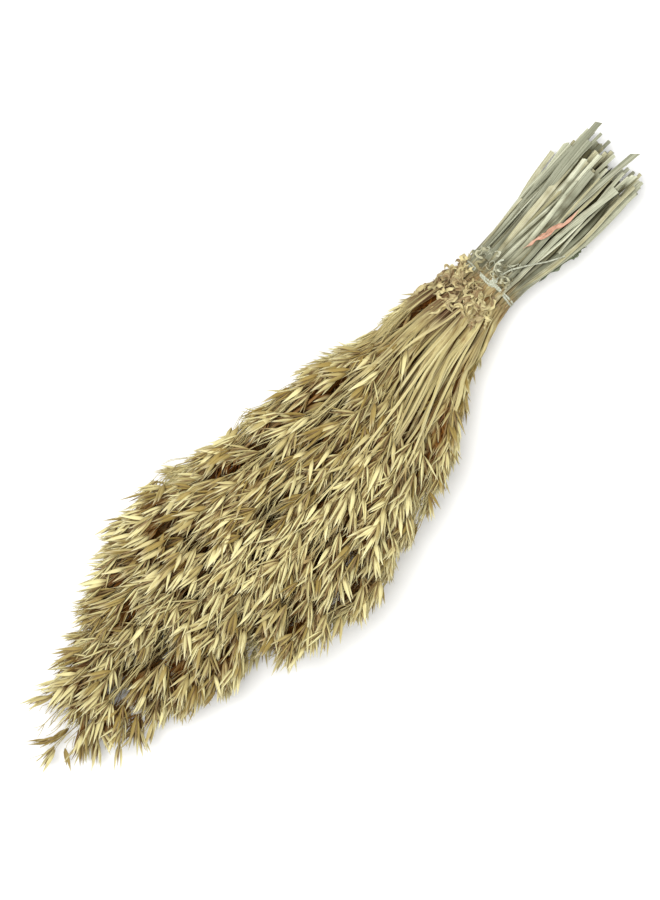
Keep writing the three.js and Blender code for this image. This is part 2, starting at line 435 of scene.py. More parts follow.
class Shader:
    """A material and the means to write its nodes."""

    def __init__(self, name):
        self.material = bpy.data.materials.new(name)
        self.material.use_nodes = True
        self.tree = self.material.node_tree
        self.surface = self.tree.nodes["Principled BSDF"]
        self.surface.inputs["Specular IOR Level"].default_value = 0.12

    def node(self, kind, settings=None, values=None, output=0):
        made = self.tree.nodes.new(kind)
        for name, value in (settings or {}).items():
            setattr(made, name, value)
        for key, value in (values or {}).items():
            self.feed(made.inputs[key], value)
        return Socket(self, made.outputs[output])

    def feed(self, socket, value):
        if isinstance(value, Socket):
            self.tree.links.new(value.link, socket)
        elif socket.type == "RGBA":
            socket.default_value = (*value, 1.0)
        else:
            socket.default_value = value

    def mix(self, share, first, second, blend="MIX"):
        """Colour from first to second."""
        settings = {"data_type": "RGBA", "blend_type": blend, "clamp_factor": True}
        return self.node("ShaderNodeMix", settings, {0: share, 6: first, 7: second}, output=2)

    def ease(self, value, low, high):
        """A number that goes smoothly from 0 to 1 as value goes from low to high."""
        settings = {"interpolation_type": "SMOOTHSTEP"}
        return self.node("ShaderNodeMapRange", settings, {0: value, 1: low, 2: high})

    def noise(self, vector, scale, detail):
        values = {"Vector": vector, "Scale": scale, "Detail": detail}
        return self.node("ShaderNodeTexNoise", {}, values)

    def grain(self):
        """Across, along and tone: what every copied part says about its points."""
        read = self.node("ShaderNodeAttribute", {"attribute_name": "grain"}, output=1)
        split = self.node("ShaderNodeSeparateXYZ", {}, {0: read})
        outputs = split.link.node.outputs
        return read, [Socket(self, outputs[i]) for i in range(3)]

    def stretched(self, vector, scale):
        return self.node("ShaderNodeMapping", {}, {"Vector": vector, "Scale": scale})

    def place(self):
        return self.node("ShaderNodeTexCoord", output=3)

    def shaded_inside(self, colour, shade):
        """Colour with painted shade: it goes brown and dim deep in the bundle, where little light
        gets in.
        """
        painted_shade = self.node("ShaderNodeAttribute", {"attribute_name": "painted_shade"}, output=2)
        return self.mix(painted_shade, colour, shade, blend="MULTIPLY")

    def finish(self, colour, roughness, height, bump_strength, bump_distance):
        self.feed(self.surface.inputs["Base Color"], colour)
        self.feed(self.surface.inputs["Roughness"], roughness)
        values = {"Height": height, "Strength": bump_strength, "Distance": bump_distance}
        self.feed(self.surface.inputs["Normal"], self.node("ShaderNodeBump", {}, values))
        return self.material


# ------------------------------------------------------------------ materials


def make_straw(settings):
    """Stems, sheaths, leaves and branches: straw beyond the tie, sage on the cut stems, with
    painted shade near the tie, under the loose scraps and deep in the bundle.
    """
    shader = Shader("oat_straw")
    vector, (_, _, tone) = shader.grain()
    x = shader.node("ShaderNodeSeparateXYZ", {}, {0: shader.place()})
    y = Socket(shader, x.link.node.outputs[1])
    wander = shader.noise(shader.stretched(vector, (0.4, 0.6, 19.0)), 1.0, 2.0) * (50 * MM)
    cut_side = shader.ease(x + wander, FORM.tie_x + 8 * MM, FORM.tie_x + 42 * MM)
    veins = shader.noise(shader.stretched(vector, (5.0, 0.12, 31.0)), 1.6, 3.0)
    blotches = shader.noise(shader.stretched(vector, (0.9, 0.5, 23.0)), 1.0, 3.0)
    specks = shader.noise(shader.stretched(vector, (3.5, 7.0, 13.0)), 1.5, 2.0)
    streaks = shader.noise(shader.stretched(vector, (2.6, 0.22, 37.0)), 1.0, 3.0)
    straw = shader.mix(tone, settings.straw_dark, settings.straw_light)
    sage = shader.mix(tone, settings.sage_dark, settings.sage_light)
    sage = shader.mix(shader.ease(streaks, 0.5, 0.66) * tone * 0.8, sage, settings.sage_cream)
    kinds = shader.noise(shader.stretched(vector, (0.0, 0.0, 57.0)), 1.0, 0.0)
    sage = shader.mix(shader.ease(kinds, 0.50, 0.60) * 0.45, sage, straw)
    # Painted shade: the cut stems go darker towards the tie, where they crowd together.
    shade_near_tie = shader.ease(x, FORM.tie_x + 45 * MM, FORM.tie_x + 4 * MM)
    sage = shader.mix(shade_near_tie * 0.5, sage, settings.sage_dark)
    colour = shader.mix(cut_side, straw, sage)
    pale = shader.mix(cut_side, settings.straw_pale, settings.sage_cream)
    colour = shader.mix(shader.ease(veins, 0.42, 0.62) * (tone * 0.6 + 0.12), colour, pale)
    # Painted shade under the loose scraps just past the tie, on the upper side: brown streaks there
    # stand in for the dark gaps beneath them.
    at_tie = shader.ease(x, FORM.tie_x - 80 * MM, FORM.tie_x - 40 * MM)
    at_tie = at_tie * shader.ease(x, FORM.tie_x - 2 * MM, FORM.tie_x - 14 * MM)
    at_tie = at_tie * shader.ease(y, FORM.tie_section[0] - 14 * MM, FORM.tie_section[0] + 6 * MM)
    # Weathered blotches of the straw itself; the painted shade under the scraps is added to them.
    brown = shader.ease(blotches, 0.46, 0.28) * 0.65 * (1.0 - cut_side * 0.8)
    brown = shader.ease(streaks, 0.42, 0.52) * at_tie * 0.9 + brown
    colour = shader.mix(brown, colour, settings.straw_brown)
    colour = shader.mix(shader.ease(specks, 0.60, 0.72) * 0.35, colour, settings.straw_brown)
    # Painted shade deep in the bundle: reddish brown beyond the tie, grey-green on the cut side.
    shade = shader.mix(cut_side, settings.inner_shade, settings.sage_shade)
    colour = shader.shaded_inside(colour, shade)
    roughness = 0.5 + veins * 0.25
    return shader.finish(colour, roughness, veins, 0.55, 0.25 * MM)


def make_husk(settings):
    """Papery husks: pale and veined, browner at the base, with the tan grain inside, and painted
    shade deep in the bundle.
    """
    shader = Shader("oat_husk")
    vector, (_, along, tone) = shader.grain()
    veins = shader.noise(shader.stretched(vector, (6.5, 0.25, 17.0)), 1.0, 2.0)
    patches = shader.noise(shader.stretched(vector, (0.8, 1.2, 41.0)), 1.0, 2.0)
    colour = shader.mix(shader.ease(tone, 0.05, 0.95), settings.husk_dark, settings.husk_light)
    colour = shader.mix(shader.ease(veins, 0.5, 0.68) * 0.5, colour, settings.husk_vein)
    colour = shader.mix(shader.ease(along, 0.38, 0.02) * 0.7, colour, settings.husk_base)
    colour = shader.mix(shader.ease(along, 0.55, 1.0) * 0.4, colour, settings.husk_pale)
    colour = shader.mix(shader.ease(patches, 0.56, 0.74) * 0.55, colour, settings.husk_brown)
    colour = shader.mix(shader.ease(tone, 0.0, -0.2), colour, settings.grain_brown)
    # Painted shade where husks lie under other husks.
    colour = shader.shaded_inside(colour, settings.inner_shade)
    roughness = 0.45 + veins * 0.22
    return shader.finish(colour, roughness, veins, 0.4, 0.15 * MM)


def make_cord(settings):
    """Thin natural cord: pale, fuzzy and a little uneven."""
    shader = Shader("tie_cord_fibre")
    place = shader.place()
    fibres = shader.noise(shader.stretched(place, (900.0, 900.0, 900.0)), 1.0, 3.0)
    dirt = shader.noise(shader.stretched(place, (110.0, 110.0, 110.0)), 1.0, 2.0)
    colour = shader.mix(shader.ease(fibres, 0.3, 0.7), settings.cord_dark, settings.cord_light)
    colour = shader.mix(shader.ease(dirt, 0.5, 0.75) * 0.5, colour, settings.cord_dark)
    # Painted shade, as on the stalks; the cord is built without cover, so none of it shows.
    colour = shader.shaded_inside(colour, settings.inner_shade)
    return shader.finish(colour, 0.75 + fibres * 0.15, fibres, 0.6, 0.3 * MM)


def make_loose_leaf(name, dark, light, pale):
    """A loose bit of leaf: its own tint, veined lengthwise and blotched, with painted shade where
    the bundle covers it.
    """
    shader = Shader(name)
    vector, (_, _, tone) = shader.grain()
    veins = shader.noise(shader.stretched(vector, (5.0, 0.15, 31.0)), 1.6, 3.0)
    blotches = shader.noise(shader.stretched(vector, (0.9, 2.4, 23.0)), 1.0, 3.0)
    colour = shader.mix(shader.ease(blotches + (tone - 0.5) * 0.4, 0.30, 0.70), dark, light)
    colour = shader.mix(shader.ease(veins, 0.45, 0.65) * 0.45, colour, pale)
    # Painted shade deep in the bundle.
    colour = shader.shaded_inside(colour, bpy.context.scene.oat_bundle.inner_shade)
    return shader.finish(colour, 0.6 + veins * 0.25, veins, 0.5, 0.25 * MM)


# ------------------------------------------------------------------ the bundle's form


class Form:
    """The stalk lines of the frame, and what the rest of the bundle needs to know of them."""

    def __init__(self):
        self.lines = {name: Line(middle_points(name)) for name in STALK_NODES}
        turns = [p for p in node_points("tie_cord") if p[2] < TIE_BOX[0][2] + 6 * MM]
        self.tie_x = float(np.mean(turns, axis=0)[0])
        self.stations = np.linspace(LOWEST[0] + 12 * MM, HIGHEST[0] - 36 * MM, 60)
        self.sections = np.array([self.measure(x) for x in self.stations])
        self.tie_section = self.measure(self.tie_x)
        widest_x = self.tie_x - HEADS_WIDEST
        self.places = {
            name: line.at(line.distance_at_x(widest_x)) for name, line in self.lines.items()
        }

    def measure(self, x):
        """Middle and half size of the bundle at this X, across and up."""
        points = np.array([
            line.at(line.distance_at_x(x))
            for line in self.lines.values()
            if line.points[-1, 0] < x < line.points[0, 0]
        ])
        lowest, highest = points.min(axis=0), points.max(axis=0)
        middle = (lowest + highest) / 2
        half = (highest - lowest) / 2 + STEM_RADIUS
        return np.array([middle[1], middle[2], half[1], half[2]])

    def section(self, x):
        return [np.interp(x, self.stations, column) for column in self.sections.T]

    def place_share(self, points):
        """Where these points stand in the section: across and up, 1 at the bundle's surface."""
        middle_y, middle_z, half_y, half_z = self.section(points[..., 0])
        return (points[..., 1] - middle_y) / half_y, (points[..., 2] - middle_z) / half_z

    def pressed(self, points):
        """The same points, pressed together where the cord goes round the stems."""
        away = np.abs(points[..., 0] - self.tie_x)
        slack = np.clip((away - 9 * MM) / (28 * MM), 0, 1)
        middle_y, middle_z, half_y, half_z = self.tie_section
        across = (points[..., 1] - middle_y) / half_y
        up = (points[..., 2] - middle_z) / half_z
        reach = np.maximum(np.hypot(across, up), 1e-6)
        limit = 0.97 + 0.6 * slack**1.5
        over = np.maximum(reach - limit, 0) * (slack < 1)
        shrink = (reach - 0.85 * over) / reach
        moved = points.copy()
        moved[..., 1] = middle_y + across * shrink * half_y
        moved[..., 2] = middle_z + up * shrink * half_z
        return moved

    def round_tie(self, distance, angle, lift):
        """A point by its distance from the tie, angle round the stems and height on them."""
        x = self.tie_x - distance
        middle_y, middle_z, half_y, half_z = self.section(x)
        if abs(distance) < 6 * MM:
            middle_y, middle_z, half_y, half_z = self.tie_section
        y = middle_y + (half_y + lift) * math.cos(math.radians(angle))
        z = middle_z + (half_z + lift) * math.sin(math.radians(angle))
        return np.array([x, y, z])

    def neighbours(self):
        """Pairs of stalks that stand next to each other."""
        names = list(self.places)
        pairs = []
        for i, first in enumerate(names):
            for second in names[i + 1:]:
                apart = np.linalg.norm(self.places[first] - self.places[second])
                if apart < NEIGHBOUR_REACH:
                    pairs.append((first, second))
        return pairs

    def between(self, first, second, lift):
        """A line between two stalks, lifted off them beyond the tie."""
        a, b = self.lines[first], self.lines[second]
        start = min(a.points[0, 0], b.points[0, 0])
        end = max(a.points[-1, 0], b.points[-1, 0])
        stations = np.linspace(start, end, 18)
        rows = [(a.at(a.distance_at_x(x)) + b.at(b.distance_at_x(x))) / 2 for x in stations]
        slack = np.clip((self.tie_x - stations - 30 * MM) / (90 * MM), 0, 1)
        return Line(np.array(rows) + UP * lift * slack[:, None])


FORM = Form()

# Where each flank of the bundle bends, in millimetres: distance past the tie, and how far out
# from the tie's middle line. The cut stems are at distances below 0.
RIGHT_FLANK = np.array([
    (-150, 70), (0, 38), (30, 36), (70, 46), (140, 92), (240, 116), (270, 116), (430, 78),
    (460, 66), (500, 70), (530, 46),
]) * MM
LEFT_FLANK = np.array([
    (-150, 70), (0, 38), (30, 34), (100, 47), (230, 68), (300, 86), (400, 78), (465, 46),
    (530, 24),
]) * MM


def ruggedness(distance, side):
    """How far a flank stands out or in at this distance from the tie, in bays and tufts."""
    place = distance / (28 * MM)
    wave = np.sin(place + 2.1 * side) + 0.8 * np.sin(2.3 * place + 1.3 + side)
    return 3.6 * MM * (wave + 0.6 * np.sin(4.9 * place + 0.7 * side))


SPRAY_LENGTH = 40 * MM
SPRAY_END = 397 * MM  # where one of the sprays ends; the rest follow from it
SPRAY_STEP = 16 * MM  # how far each spray stands out of the flank behind it


def tip_sprays(distance):
    """How far the right flank steps out at each spray near the tip, and back in after it."""
    strength = np.clip((distance - 330 * MM) / (60 * MM), 0, 1)
    along_spray = (distance - SPRAY_END) / SPRAY_LENGTH % 1
    return strength * SPRAY_STEP * (along_spray - 0.75)


def past_outline(points, margin=0.0):
    """How far each copy stands out of the outline: below 0 on the right, above 0 on the left."""
    distance = FORM.tie_x - points[..., 0].mean(axis=1)
    centre = FORM.tie_section[0]
    rugged = np.clip((distance - 60 * MM) / (60 * MM), 0, 1)
    margin = margin * np.clip((distance - 30 * MM) / (70 * MM), 0, 1)
    right = centre - np.interp(distance, *RIGHT_FLANK.T) + margin
    right = right - rugged * ruggedness(distance, -1) - tip_sprays(distance)
    left = centre + np.interp(distance, *LEFT_FLANK.T) - margin
    left = left + rugged * ruggedness(distance, 1)
    over = np.minimum(points[..., 1].min(axis=1) - right, 0)
    return over + np.maximum(points[..., 1].max(axis=1) - left, 0)


def inside_outline(points, share=0.8, margin=0.0):
    """Moves each copy towards the middle by a share of what it stands out of the outline."""
    moved = points.copy()
    moved[..., 1] -= (share * past_outline(points, margin))[:, None]
    return moved


class Cover:
    """How much of the bundle lies outside each place, on a coarse grid; it sets the painted shade.
    """

    STEP = 4.5 * MM

    def __init__(self, gatherings):
        faces = [gathering.faces() for gathering in gatherings]
        middles = np.concatenate([middle for middle, _ in faces])
        areas = np.concatenate([area for _, area in faces])
        self.low = middles.min(axis=0) - 2 * self.STEP
        self.shape = np.ceil((middles.max(axis=0) - self.low) / self.STEP).astype(int) + 3
        cells = self.cells(middles)
        # A quarter of a shape's surface is what it hides, seen from any side.
        hiding = np.bincount(cells, areas / (4 * self.STEP**2), self.shape.prod())
        centres = np.stack(np.unravel_index(np.arange(self.shape.prod()), self.shape), -1)
        centres = self.low + (centres + 0.5) * self.STEP
        across, up = FORM.place_share(centres)
        outward = unit(np.stack([np.zeros_like(across), across, up + 0.35], -1))
        total = 0.3 * hiding
        for step in range(1, 9):
            total = total + hiding[self.cells(centres + outward * self.STEP * step)]
        self.total = total

    def cells(self, points):
        index = np.floor((points - self.low) / self.STEP).astype(int)
        index = np.clip(index, 0, self.shape - 1)
        return np.ravel_multi_index(index.T, self.shape)

    def at(self, points):
        """0 where the light falls freely, 1 where hardly any comes."""
        spots = points.reshape(-1, 3) - self.low - self.STEP / 2
        corner = np.floor(spots / self.STEP)
        part = spots / self.STEP - corner
        total = np.zeros(len(spots))
        cut_side = np.clip((points.reshape(-1, 3)[:, 0] - FORM.tie_x + 60 * MM) / (60 * MM), 0, 1)
        for offset in np.ndindex(2, 2, 2):
            index = np.clip(corner.astype(int) + offset, 0, self.shape - 1)
            weight = np.prod(np.where(offset, part, 1 - part), axis=1)
            total += weight * self.total[np.ravel_multi_index(index.T, self.shape)]
        over = np.maximum(total - OPEN_COVER * (1 - 0.6 * cut_side), 0)
        return 1 - np.exp(-over * COVER_DENSITY * (1 + 1.2 * cut_side))


def flow(points):
    """Which way husks point at these places: down the bundle, and outwards at its flanks."""
    across, _ = FORM.place_share(points)
    angle = np.radians(11.0 - 34.0 * np.clip(across, -1.15, 1.15))
    return np.stack([-np.cos(angle), -np.sin(angle), np.zeros_like(angle)], -1)


def kept_in(points):
    """Moves each copy back into the room that the bundle has."""
    lowest, highest = points.min(axis=1), points.max(axis=1)
    shift = np.maximum(ROOM[0] - lowest, 0) + np.minimum(ROOM[1] - highest, 0)
    return points + shift[:, None]


# ------------------------------------------------------------------ one stalk


class Patterns:
    """The shapes that every stalk is made of, modelled once."""

    def __init__(self, settings):
        length = settings.husk_length
        width = settings.husk_width / 2
        self.stem = model_tube(6, 24, hollow=True)
        self.leaf = model_tube(8, 26)
        self.scrap = model_tube(8, 40)
        self.branch = model_tube(3, 5)
        self.stub = model_tube(3, 2)
        self.spikelets = [
            model_spikelet(length, width, math.radians(2.5), 0.00),
            model_spikelet(length, width, math.radians(6), 0.04),
            model_spikelet(length * 1.04, width * 0.94, math.radians(10), -0.03),
            model_spikelet(length * 0.96, width, math.radians(14), 0.02),
            model_spikelet(length * 1.06, width * 0.86, math.radians(19), -0.05),
        ]


def stem_margin(rng):
    """How much of the outline a stem or leaf leaves to the husks."""
    return rng.uniform(8, 22) * MM


def grow_stem(parts, patterns, line, neck, tip, rng, tone):
    """The culm, with its joints, from the cut end to the last branch of the head."""
    joints = [rng.uniform(0.03, 0.1), rng.uniform(0.28, 0.4), rng.uniform(0.55, 0.65)]
    base = rng.uniform(1.4, 2.1) * MM

    def shape(share):
        radius = base + (0.85 * MM - base) * share**1.2
        for joint in joints:
            radius = radius * (1 + 0.32 * np.exp(-(((share - joint) / 0.012) ** 2)))
        thin = np.clip((share * tip - neck) / (tip - neck), 0, 1)
        radius = radius * (1 - thin) + 0.35 * MM * thin
        return radius, radius, 0 * share

    draw_along(parts, patterns.stem, line, 0.0, tip, shape, tone, margin=stem_margin(rng))


def facing(line, distance, rng):
    """The roll that turns a leaf's flat side outwards at this place, give or take."""
    across, up = FORM.place_share(line.at(distance))
    if math.hypot(across, up) < 0.35:
        return rng.uniform(-1.2, 1.2)
    return math.atan2(-across, up) + rng.gauss(0, 0.35)


def grow_sheath(parts, patterns, line, rng, tone):
    """A dry sheath, flat at the cut end and wrapped round the stem towards the tie."""
    at_tie = line.distance_at_x(FORM.tie_x)
    start = rng.uniform(-6, 26) * MM
    end = at_tie + rng.uniform(4, 60) * MM
    wide = rng.triangular(1.4, 4.4, 2.0) * MM
    curl = rng.uniform(-0.6, 0.3)
    splay = max(-12, min(12, rng.gauss(0, 8))) * MM
    raise_by = rng.uniform(0.6, 6.5) * MM
    slant = rng.uniform(-0.5, 0.5)
    turn = facing(line, start, rng) + rng.gauss(0, 0.35)
    twist = rng.uniform(-0.9, 0.9)
    tie_share = (at_tie - start) / (end - start)

    def shape(share):
        loose = np.clip(1 - share / tie_share, 0, 1)
        half = 2.1 * MM + (wide - 2.1 * MM) * loose**0.4
        half = half * (1 - 0.5 * np.clip((share - tie_share) / (1 - tie_share), 0, 1))
        half = half * (1 + 0.07 * np.sin(share * 23 + slant * 9))
        return half, (0.45 + 0.5 * (1 - loose)) * MM, curl * np.ones_like(share)

    def offset(share, side_way, up_way):
        loose = np.clip(1 - share / tie_share, 0, 1)
        sideways = splay * loose**1.3
        lift = 1.2 * MM + raise_by * loose
        return side_way * sideways[:, None] + up_way * lift[:, None]

    def roll(share):
        return turn + twist * np.clip(1 - share / tie_share, 0, 1)

    draw_along(parts, patterns.leaf, line, start, end, shape, tone, roll, offset,
               stem_margin(rng), slant=rng.uniform(-1.3, 1.3))


def grow_blade(parts, patterns, line, start, sheath, blade, width, rng, tone):
    """A sheath round the stem that opens into a long narrow blade beside it."""
    total = sheath + blade
    opens = sheath / total
    turn = facing(line, start + sheath, rng) * 0.9
    twist = rng.uniform(-0.7, 0.7)
    wave = rng.uniform(0, 6.28)
    sway = rng.gauss(0, 0.10) * blade
    fold = rng.uniform(-0.05, 0.4)
    lift = rng.uniform(1.0, 5.0) * MM

    def free_part(share):
        return np.clip((share - opens) / (1 - opens), 0, 1)

    def shape(share):
        free = free_part(share)
        open_up = np.clip((share - opens + 0.03) / 0.06, 0, 1)
        half = 2.0 * MM * (1 - open_up) + (width / 2) * open_up * (1 - free) ** 0.55
        half = half * (1 + 0.05 * np.sin(free * 31 + wave)) + 0.05 * MM
        thick = 1.4 * MM * (1 - open_up) + 0.22 * MM * open_up
        return half, thick, fold * open_up

    def roll(share):
        return turn + twist * free_part(share) + 0.15 * np.sin(share * 11 + wave)

    def offset(share, side_way, up_way):
        free = free_part(share)
        away = lift * np.minimum(free * 5, 1) + 1.5 * MM * np.sin(free * 6 + wave) * free
        return side_way * (sway * free**1.2)[:, None] + up_way * away[:, None]

    end = start + total
    draw_along(parts, patterns.leaf, line, start, end, shape, tone, roll, offset, stem_margin(rng))


def twig_shape(part):
    radius = (0.34 - 0.12 * part) * MM
    return radius, radius, 0 * part


def bent_route(base, first, last, reach, margin):
    """A curved route that leaves along one heading and ends along another."""
    route = [base]
    for bend in (0.15, 0.4, 0.7, 1.0):
        heading = unit(first * (1 - bend) + last * bend)
        route.append(np.clip(route[-1] + heading * reach / 4, ROOM[0] + MM, ROOM[1] - MM))
    return Line(inside_outline(np.array(route)[:, None], margin=margin)[:, 0], 10)


def grow_head(parts, patterns, line, neck, tip, rng, tone, settings):
    """Whorls of thin branches, each with a few spikelets that hang towards the tips."""
    origins, headings = [], []
    counts = (5, 4, 4, 4, 3, 3, 3, 2)
    for whorl, count in enumerate(counts):
        share = (whorl + rng.uniform(0.1, 0.6)) / len(counts)
        at = neck + (tip - neck) * share
        base = line.at(at)
        along = line.heading(at)
        side, up = axes_for(along)
        first = rng.uniform(0, 6.28)
        for k in range(count):
            around = first + k * 6.28 / count + rng.uniform(-0.4, 0.4)
            out = side * math.cos(around) + up * math.sin(around) * 0.85
            reach = (60 - 44 * share) * MM * rng.uniform(0.45, 1.15)
            angle = math.radians(rng.uniform(10, 32))
            go = unit(along * math.cos(angle) + out * math.sin(angle))
            drift = np.array([rng.gauss(0, 0.12), rng.gauss(0, 0.22), rng.uniform(-0.2, 0.08)])
            hang = unit(flow(base) + out * 0.12 + drift)
            margin = rng.uniform(2, 18) * MM
            twig = bent_route(base, go, hang, reach, margin)
            draw_along(parts, patterns.branch, twig, 0, twig.length, twig_shape, tone + 0.15)
            seats = [1.0] if reach < 22 * MM else [0.45, 0.75, 1.0]
            if reach > 42 * MM:
                seats = [0.28, 0.47, 0.66, 0.84, 1.0]
            for seat in seats:
                origin = twig.at(twig.length * seat)
                heading = twig.heading(twig.length * seat)
                if seat < 1.0:
                    swing = out * rng.uniform(-0.3, 0.5) + side * rng.uniform(-0.5, 0.5)
                    heading = unit(heading + swing)
                    stub = bent_route(origin, heading, hang, rng.uniform(3, 10) * MM, margin)
                    draw_along(parts, patterns.stub, stub, 0, stub.length, twig_shape, tone)
                    origin = stub.points[-1]
                pit = noise.noise(Vector((origin[0] * 42, origin[1] * 42, origin[2] * 10)))
                past = min(max((FORM.tie_x - origin[0]) / (130 * MM) - 3.1, 0), 1)
                if pit > settings.gaps - 0.06 * past:
                    continue
                wander = np.array([rng.gauss(0, 0.20), rng.gauss(0, 0.40), rng.gauss(0, 0.30)])
                origins.append(origin)
                headings.append(unit(heading * 0.45 + flow(origin) * 0.75 + wander))
    if origins:
        seat_spikelets(parts, patterns, np.array(origins), np.array(headings), rng, tone)


def seat_spikelets(parts, patterns, origins, headings, rng, tone):
    """Puts a spikelet at each place, some closed and some open."""
    kinds = [rng.choices(range(5), weights=(2, 4, 4, 3, 1.5))[0] for _ in origins]
    for kind, pattern in enumerate(patterns.spikelets):
        picked = np.array([i for i, k in enumerate(kinds) if k == kind], int)
        if not len(picked):
            continue
        rolls = np.array([math.pi / 2 + rng.gauss(0, 0.8) for _ in picked])
        sizes = np.array([rng.uniform(0.82, 1.14) for _ in picked])[:, None, None]
        side, up = axes_for(headings[picked], rolls)
        local = pattern.points[None] * sizes
        points = origins[picked][:, None] + local[..., 0:1] * side[:, None]
        points = points + local[..., 1:2] * up[:, None]
        points = points + local[..., 2:3] * headings[picked][:, None]
        points = kept_in(inside_outline(points, 0.4))
        grain = np.repeat(pattern.grain[None], len(picked), axis=0)
        tones = np.array([min(1, max(0, tone + rng.gauss(0, 0.34))) for _ in picked])
        grain[..., 0] += rolls[:, None] * 3
        grain[..., 2] = np.where(grain[..., 2] < 0, -1.0, tones[:, None])
        allowed = np.array([rng.uniform(0, 12) * MM for _ in picked])
        distance = FORM.tie_x - origins[picked, 0]
        allowed = allowed * np.interp(distance, (330 * MM, 420 * MM), (1.0, 0.4))
        inside = np.abs(past_outline(points)) < allowed
        if inside.any():
            parts.add(pattern, points[inside], grain[inside], HUSK)


def swayed(line, rng):
    """The same line, grown a little crooked away from the tie."""
    points = line.points
    slack = np.clip((np.abs(points[:, 0] - FORM.tie_x) - 10 * MM) / (70 * MM), 0, 1)
    place = points[:, 0] / (38 * MM)
    sideways = 3.2 * MM * np.sin(place + rng.uniform(0, 6.28)) + rng.gauss(0, 2.5) * MM
    upwards = 2.0 * MM * np.sin(1.3 * place + rng.uniform(0, 6.28))
    sway = np.stack([0 * slack, sideways * slack, upwards * slack], -1)
    return Line(points + sway)


def grow_stalk(line, patterns, settings, number, reach=None):
    """One whole oat stalk: stem, leaves and seed head. reach is how far past the tie it goes."""
    rng = random.Random(settings.seed * 1000 + number)
    line = swayed(line, rng)
    tone = rng.uniform(0.25, 0.85)
    parts = Gathering()
    at_tie = line.distance_at_x(FORM.tie_x)
    tip = line.length + rng.uniform(-18, 30) * MM
    if reach:
        tip = min(tip, at_tie + reach)
    neck = tip - rng.uniform(160, 190) * MM
    grow_stem(parts, patterns, line, neck, tip, rng, tone)
    for _ in range(rng.choice((0, 1, 1, 2))):
        grow_sheath(parts, patterns, line, rng, rng.uniform(0.1, 1.0))
    upper = FORM.place_share(line.at(at_tie))[1] > 0.2
    for _ in range(rng.choice((0, 0, 1, 1)) if upper else 1):
        opens = at_tie + rng.uniform(-12, 60) * MM
        start = opens - rng.uniform(40, 90) * MM
        wide = rng.triangular(2.5, 9.0, 4.0) * MM
        blade = rng.uniform(80, 165) * MM
        shade = rng.uniform(0.2, 1)
        grow_blade(parts, patterns, line, start, opens - start, blade, wide, rng, shade)
    grow_head(parts, patterns, line, neck, tip, rng, tone, settings)
    return parts


# ------------------------------------------------------------------ tie and loose leaves


def draw_cord(parts, strand, places, radius, rng):
    """Twisted cord along these points."""
    line = Line(places, 240)
    twist = 2 * math.pi / (6.5 * MM)

    def shape(share):
        return radius * np.ones_like(share), radius * np.ones_like(share), 0 * share

    def roll(share):
        return share * line.length * twist

    draw_along(parts, strand, line, 0, line.length, shape, rng.uniform(0.4, 0.8), roll=roll)
    return line


def fray(parts, hair, line, radius, count, rng):
    """Loose fibres that stand off the cord."""
    for _ in range(count):
        at = rng.uniform(0, line.length)
        base = line.at(at)
        along = line.heading(at)
        side, up = axes_for(along, rng.uniform(0, 6.28))
        out = unit(side * 0.5 + along * rng.uniform(-1.2, 1.2) + up * rng.uniform(-0.4, 0.6))
        tip = base + side * radius + out * rng.uniform(1.0, 2.8) * MM
        fibre = Line([base + side * radius * 0.7, tip], 4)

        def shape(share):
            return (0.09 - 0.05 * share) * MM, (0.09 - 0.05 * share) * MM, 0 * share

        draw_along(parts, hair, fibre, 0, fibre.length, shape, 0.9)


def wavy(share, rng_waves):
    """A wandering value between about -1 and 1, from a few waves."""
    total = np.zeros_like(share)
    for rate, phase, size in rng_waves:
        total = total + size * np.sin(share * rate + phase)
    return total


def waves(rng, fastest):
    """A few waves, each with its rate, start and height."""
    return [
        (rng.uniform(0.3, 1.0) * fastest, rng.uniform(0, 6.28), rng.uniform(0.25, 0.55))
        for _ in range(4)
    ]


def draw_scrap(parts, tube, places, width, crumple, rng, tone, turn=0.0):
    """A torn, crumpled strip of leaf along these points."""
    line = Line(places, 48)
    edge, rolls, folds = waves(rng, 40), waves(rng, 16), waves(rng, 22)
    side_sway, up_sway = waves(rng, 14), waves(rng, 18)

    def shape(share):
        taper = np.clip(np.minimum(share, 1 - share) * 4, 0.05, 1)
        half = width / 2 * taper * (1 + 0.35 * wavy(share, edge))
        return np.maximum(half, 0.15 * MM), np.full_like(share, 0.2 * MM), 0.4 * wavy(share, folds)

    def roll(share):
        return turn + crumple * wavy(share, rolls)

    def offset(share, side_way, up_way):
        size = crumple * 2.2 * MM
        sideways = size * wavy(share, side_sway)[:, None]
        return side_way * sideways + up_way * size * 0.7 * wavy(share, up_sway)[:, None]

    draw_along(parts, tube, line, 0, line.length, shape, tone, roll, offset, tied=False)


# ------------------------------------------------------------------ settings


def colour_setting(name, description, default):
    return bpy.props.FloatVectorProperty(
        name=name, description=description, default=default, size=3, subtype="COLOR", min=0, max=1
    )


def length_setting(name, description, default):
    return bpy.props.FloatProperty(
        name=name, description=description, default=default, unit="LENGTH", min=0
    )


